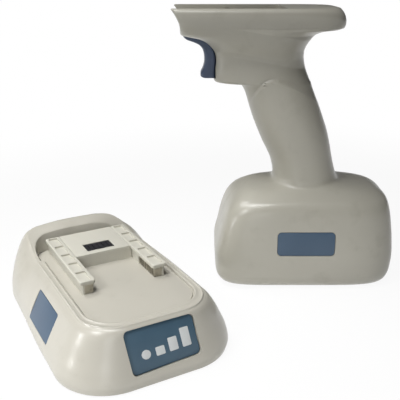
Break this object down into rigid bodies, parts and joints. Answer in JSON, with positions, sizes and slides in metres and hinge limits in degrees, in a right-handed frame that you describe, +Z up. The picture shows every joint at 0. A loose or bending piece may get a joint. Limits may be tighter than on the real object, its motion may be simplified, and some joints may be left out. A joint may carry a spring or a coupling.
{
  "type": "handheld dental x-ray handset and charging cradle",
  "caption": "Pistol-grip battery handset of a handheld dental x-ray unit with a curved trigger and a slide-on dock plate, beside its sloping charging cradle with two rails and a level panel.",
  "frame": {"origin": "middle of the handset's underside, on the floor that the handset and the cradle stand on", "axes": "+Z up, +X from the trigger towards the handset's tail, +Y away from the camera; the cradle is turned 29.1 degrees about Z"},
  "size_m": [0.2831, 0.2034, 0.2],
  "materials": {
    "housing": "satin light grey",
    "deck": "satin pale grey",
    "slate": "satin slate blue",
    "window": "translucent white",
    "black": "matte black",
    "foot": "matte",
    "steel": "plain",
    "contact": "nickel plated",
    "board": "green board",
    "cell": "wrapped",
    "winding": "enamelled copper wire",
    "lead": "jacketed lead"
  },
  "bodies": {
    "cradle": {"cradle_housing": "housing", "cradle_base": "housing", "rail_left": "deck", "rail_right": "deck", "dock_platform": "deck", "contact_comb_left": "contact", "contact_comb_right": "contact", "dock_socket": "black", "socket_blades": "contact", "dock_lead": "lead", "charger_board": "board", "charger_coil": "winding", "dc_inlet": "black", "level_panel": "slate", "power_window": "window", "level_bar_1": "window", "level_bar_2": "window", "level_bar_3": "window", "light_board": "board", "side_badge": "slate", "rubber_foot_1": "foot", "rubber_foot_2": "foot", "rubber_foot_3": "foot", "rubber_foot_4": "foot", "base_screw_1": "steel", "base_screw_2": "steel"},
    "handset": {"housing_left": "housing", "housing_right": "housing", "bottom_cover": "housing", "dock_plate": "housing", "base_badge": "slate", "contact_block": "black", "contact_strip_left": "contact", "contact_strip_right": "contact", "trigger_pin": "steel", "trigger_spring": "steel", "switch_body": "black", "cell_holder_front": "black", "cell_holder_rear": "black", "cell_link_front": "contact", "cell_link_rear": "contact", "battery_board": "board", "main_harness": "lead", "switch_lead": "lead", "battery_cell_1": "cell", "battery_cell_2": "cell", "battery_cell_3": "cell", "battery_cell_4": "cell", "battery_cell_5": "cell", "battery_cell_6": "cell", "housing_screw_1": "steel", "housing_screw_2": "steel", "housing_screw_3": "steel", "housing_screw_4": "steel", "cover_screw_1": "steel", "plate_screw_1": "steel", "cover_screw_2": "steel", "plate_screw_2": "steel"},
    "trigger": {"trigger": "slate"},
    "plunger": {"switch_plunger": "window"}
  },
  "joints": [
    {"name": "handset_lift", "type": "slide", "parent": "cradle", "child": "handset", "axis": [0, 0, 1], "range_m": [0, 0.25]},
    {"name": "trigger_squeeze", "type": "hinge", "parent": "handset", "child": "trigger", "pos_m": [-0.08759, 0, 0.1836], "axis": [0, -1, 0], "range_deg": [0, 6], "stiffness_Nm_per_rad": 1.5, "springref_deg": -4.58, "deforming": ["trigger_spring"]},
    {"name": "plunger_slide", "type": "slide", "parent": "handset", "child": "plunger", "axis": [1, 0, 0], "range_m": [0, 0.0025]}
  ],
  "couplings": [
    {"joint": "plunger_slide", "follows": "trigger_squeeze", "m_per_rad": 0.0228}
  ]
}
